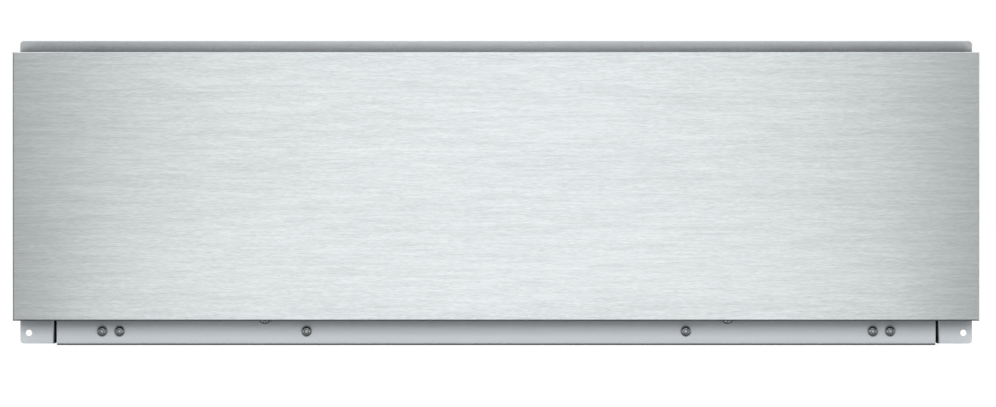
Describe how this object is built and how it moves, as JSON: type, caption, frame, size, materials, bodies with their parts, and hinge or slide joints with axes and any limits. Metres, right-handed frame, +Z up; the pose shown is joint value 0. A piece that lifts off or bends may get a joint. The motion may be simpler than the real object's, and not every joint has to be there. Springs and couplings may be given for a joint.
{
  "type": "built-in warming drawer",
  "caption": "Push-to-open warming drawer with a plain brushed front, a flanged sheet-metal housing, a heated cavity, and a tub on telescopic slides with a mat and a wire rack.",
  "frame": {"origin": "centre of the footprint of the whole object, on the plane of its underside", "axes": "+X to the right seen from the front, +Y to the back, +Z up; the drawer opens along -Y"},
  "size_m": [0.7556, 0.582, 0.2395],
  "materials": {
    "brushed_front": "brushed, horizontal grain",
    "coated_steel": "zinc-coated, satin",
    "cavity_steel": "aluminised, satin",
    "tub_steel": "stainless, satin",
    "rail_steel": "zinc-plated",
    "bearing_steel": "polished",
    "screw_steel": "bright zinc",
    "rack_chrome": "chrome-plated",
    "element_steel": "heat-dulled",
    "probe_metal": "nickel-plated",
    "ceramic": "unglazed ceramic",
    "glass_wool": "wool blanket",
    "black_plastic": "fine texture",
    "knob_metal": "turned, satin",
    "amber_lens": "translucent",
    "seal_rubber": "matt silicone",
    "mat_rubber": "ribbed, matt",
    "wire_sleeving": "silicone sleeving"
  },
  "bodies": {
    "housing": {"base_pan": "coated_steel", "left_side_panel": "coated_steel", "right_side_panel": "coated_steel", "top_cover": "coated_steel", "rear_panel": "coated_steel", "header_plate": "cavity_steel", "sill_stiffener": "coated_steel", "corner_brackets": "coated_steel", "strip_screws": "screw_steel", "housing_screws": "screw_steel", "rear_screws": "screw_steel", "left_cavity_wall": "cavity_steel", "right_cavity_wall": "cavity_steel", "cavity_ceiling": "cavity_steel", "cavity_rear_wall": "cavity_steel", "reflector_tray": "cavity_steel", "side_insulation": "glass_wool", "top_insulation": "glass_wool", "rear_insulation": "glass_wool", "floor_insulation": "glass_wool", "heating_element": "element_steel", "element_clips": "screw_steel", "element_bushings": "ceramic", "thermal_cutout": "black_plastic", "temperature_probe": "probe_metal", "terminal_block": "ceramic", "terminal_cover": "coated_steel", "cable_gland": "black_plastic", "internal_wiring": "wire_sleeving", "control_fascia": "black_plastic", "thermostat": "black_plastic", "pilot_lamp": "amber_lens", "latch_housings": "black_plastic", "latch_springs": "screw_steel", "left_outer_rail": "rail_steel", "right_outer_rail": "rail_steel", "rail_screws": "screw_steel"},
    "drawer": {"front_panel": "brushed_front", "front_backplate": "cavity_steel", "front_insulation": "glass_wool", "strike_plates": "rail_steel", "drawer_seal": "seal_rubber", "drawer_tub": "tub_steel", "drawer_screws": "screw_steel", "anti_slip_mat": "mat_rubber", "left_inner_rail": "rail_steel", "right_inner_rail": "rail_steel"},
    "left_middle_slide": {"left_middle_rail": "rail_steel"},
    "right_middle_slide": {"right_middle_rail": "rail_steel"},
    "left_outer_balls": {"left_outer_cage": "bearing_steel"},
    "right_outer_balls": {"right_outer_cage": "bearing_steel"},
    "left_inner_balls": {"left_inner_cage": "bearing_steel"},
    "right_inner_balls": {"right_inner_cage": "bearing_steel"},
    "knob": {"temperature_knob": "knob_metal", "thermostat_shaft": "rail_steel"},
    "left_plunger": {"left_latch_plunger": "black_plastic"},
    "right_plunger": {"right_latch_plunger": "black_plastic"},
    "rack": {"wire_rack": "rack_chrome", "rack_legs": "rack_chrome", "rack_feet": "seal_rubber"}
  },
  "joints": [
    {"name": "drawer_slide", "type": "slide", "parent": "housing", "child": "drawer", "axis": [0, -1, 0], "range_m": [0, 0.43]},
    {"name": "left_middle_slide_travel", "type": "slide", "parent": "housing", "child": "left_middle_slide", "axis": [0, -1, 0], "range_m": [0, 0.215]},
    {"name": "left_outer_balls_travel", "type": "slide", "parent": "housing", "child": "left_outer_balls", "axis": [0, -1, 0], "range_m": [0, 0.1075]},
    {"name": "left_inner_balls_travel", "type": "slide", "parent": "housing", "child": "left_inner_balls", "axis": [0, -1, 0], "range_m": [0, 0.3225]},
    {"name": "right_middle_slide_travel", "type": "slide", "parent": "housing", "child": "right_middle_slide", "axis": [0, -1, 0], "range_m": [0, 0.215]},
    {"name": "right_outer_balls_travel", "type": "slide", "parent": "housing", "child": "right_outer_balls", "axis": [0, -1, 0], "range_m": [0, 0.1075]},
    {"name": "right_inner_balls_travel", "type": "slide", "parent": "housing", "child": "right_inner_balls", "axis": [0, -1, 0], "range_m": [0, 0.3225]},
    {"name": "knob_turn", "type": "hinge", "parent": "housing", "child": "knob", "pos_m": [0.236, -0.276, 0.20785], "axis": [0, 1, 0], "range_deg": [0, 240]},
    {"name": "left_latch_push", "type": "slide", "parent": "housing", "child": "left_plunger", "axis": [0, 1, 0], "range_m": [0, 0.003], "stiffness_N_per_m": 400},
    {"name": "right_latch_push", "type": "slide", "parent": "housing", "child": "right_plunger", "axis": [0, 1, 0], "range_m": [0, 0.003], "stiffness_N_per_m": 400},
    {"name": "rack_lift", "type": "slide", "parent": "drawer", "child": "rack", "axis": [0, 0, 1], "range_m": [0, 0.07]}
  ],
  "couplings": [
    {"joint": "left_middle_slide_travel", "follows": "drawer_slide", "ratio": 0.5},
    {"joint": "left_outer_balls_travel", "follows": "drawer_slide", "ratio": 0.25},
    {"joint": "left_inner_balls_travel", "follows": "drawer_slide", "ratio": 0.75},
    {"joint": "right_middle_slide_travel", "follows": "drawer_slide", "ratio": 0.5},
    {"joint": "right_outer_balls_travel", "follows": "drawer_slide", "ratio": 0.25},
    {"joint": "right_inner_balls_travel", "follows": "drawer_slide", "ratio": 0.75}
  ]
}
